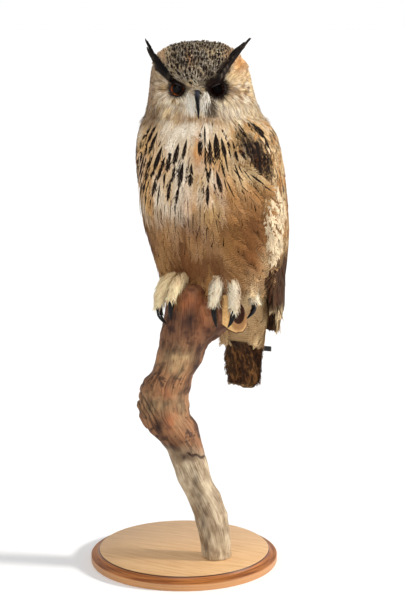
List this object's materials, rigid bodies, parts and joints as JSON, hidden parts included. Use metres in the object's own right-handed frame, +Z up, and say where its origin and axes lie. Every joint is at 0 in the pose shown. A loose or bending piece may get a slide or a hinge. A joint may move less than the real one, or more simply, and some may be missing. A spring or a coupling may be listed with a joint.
{
  "type": "taxidermy eagle-owl on a branch perch",
  "caption": "Mounted eagle-owl, upright with folded wings and ear tufts, gripping a forked branch on a round turned wooden base.",
  "frame": {"origin": "centre of the round base's underside, on the surface that it stands on", "axes": "+Z up along the owl's height; the owl's face looks along -Y; its left wing is on the +X side"},
  "size_m": [0.3787, 0.36, 0.9999],
  "materials": {
    "varnished_wood": "gloss varnish over straight-grained honey-brown wood",
    "weathered_wood": "barkless weathered branch, reddish brown above and grey-tan below",
    "breast_feather": "buff body feathers with dark streaks and fine bars",
    "face_feather": "short grey-buff face and crown feathers, speckled dark",
    "wing_feather": "dark brown wing feathers, blotched and barred buff",
    "tail_feather": "dark brown tail feathers with paler bars",
    "tuft_feather": "near-black ear tuft feathers",
    "toe_feather": "cream hair-like toe feathers",
    "horn": "polished black horn of bill and talons",
    "glass_eye": "glass eye, orange iris behind a clear front, large black pupil",
    "tag_plastic": "small black clip"
  },
  "bodies": {
    "root": {"base_plinth": "varnished_wood", "owl_bill_lower": "horn", "owl_bill_upper": "horn", "owl_ear_tuft_left": "tuft_feather", "owl_ear_tuft_right": "tuft_feather", "owl_eye_left": "glass_eye", "owl_eye_right": "glass_eye", "owl_foot_left": "toe_feather", "owl_foot_right": "toe_feather", "owl_head": "face_feather", "owl_leg_left": "breast_feather", "owl_leg_right": "breast_feather", "owl_neck": "breast_feather", "owl_tail": "tail_feather", "owl_talon_left_hind": "horn", "owl_talon_left_inner": "horn", "owl_talon_left_middle": "horn", "owl_talon_left_outer": "horn", "owl_talon_right_fourth": "horn", "owl_talon_right_hind": "horn", "owl_talon_right_inner": "horn", "owl_talon_right_outer": "horn", "owl_trunk": "breast_feather", "owl_undertail": "breast_feather", "owl_wing_left": "wing_feather", "owl_wing_right": "wing_feather", "owl_wingtip_left": "wing_feather", "owl_wingtip_right": "wing_feather", "perch_branch": "weathered_wood", "tail_tag": "tag_plastic"}
  },
  "joints": []
}
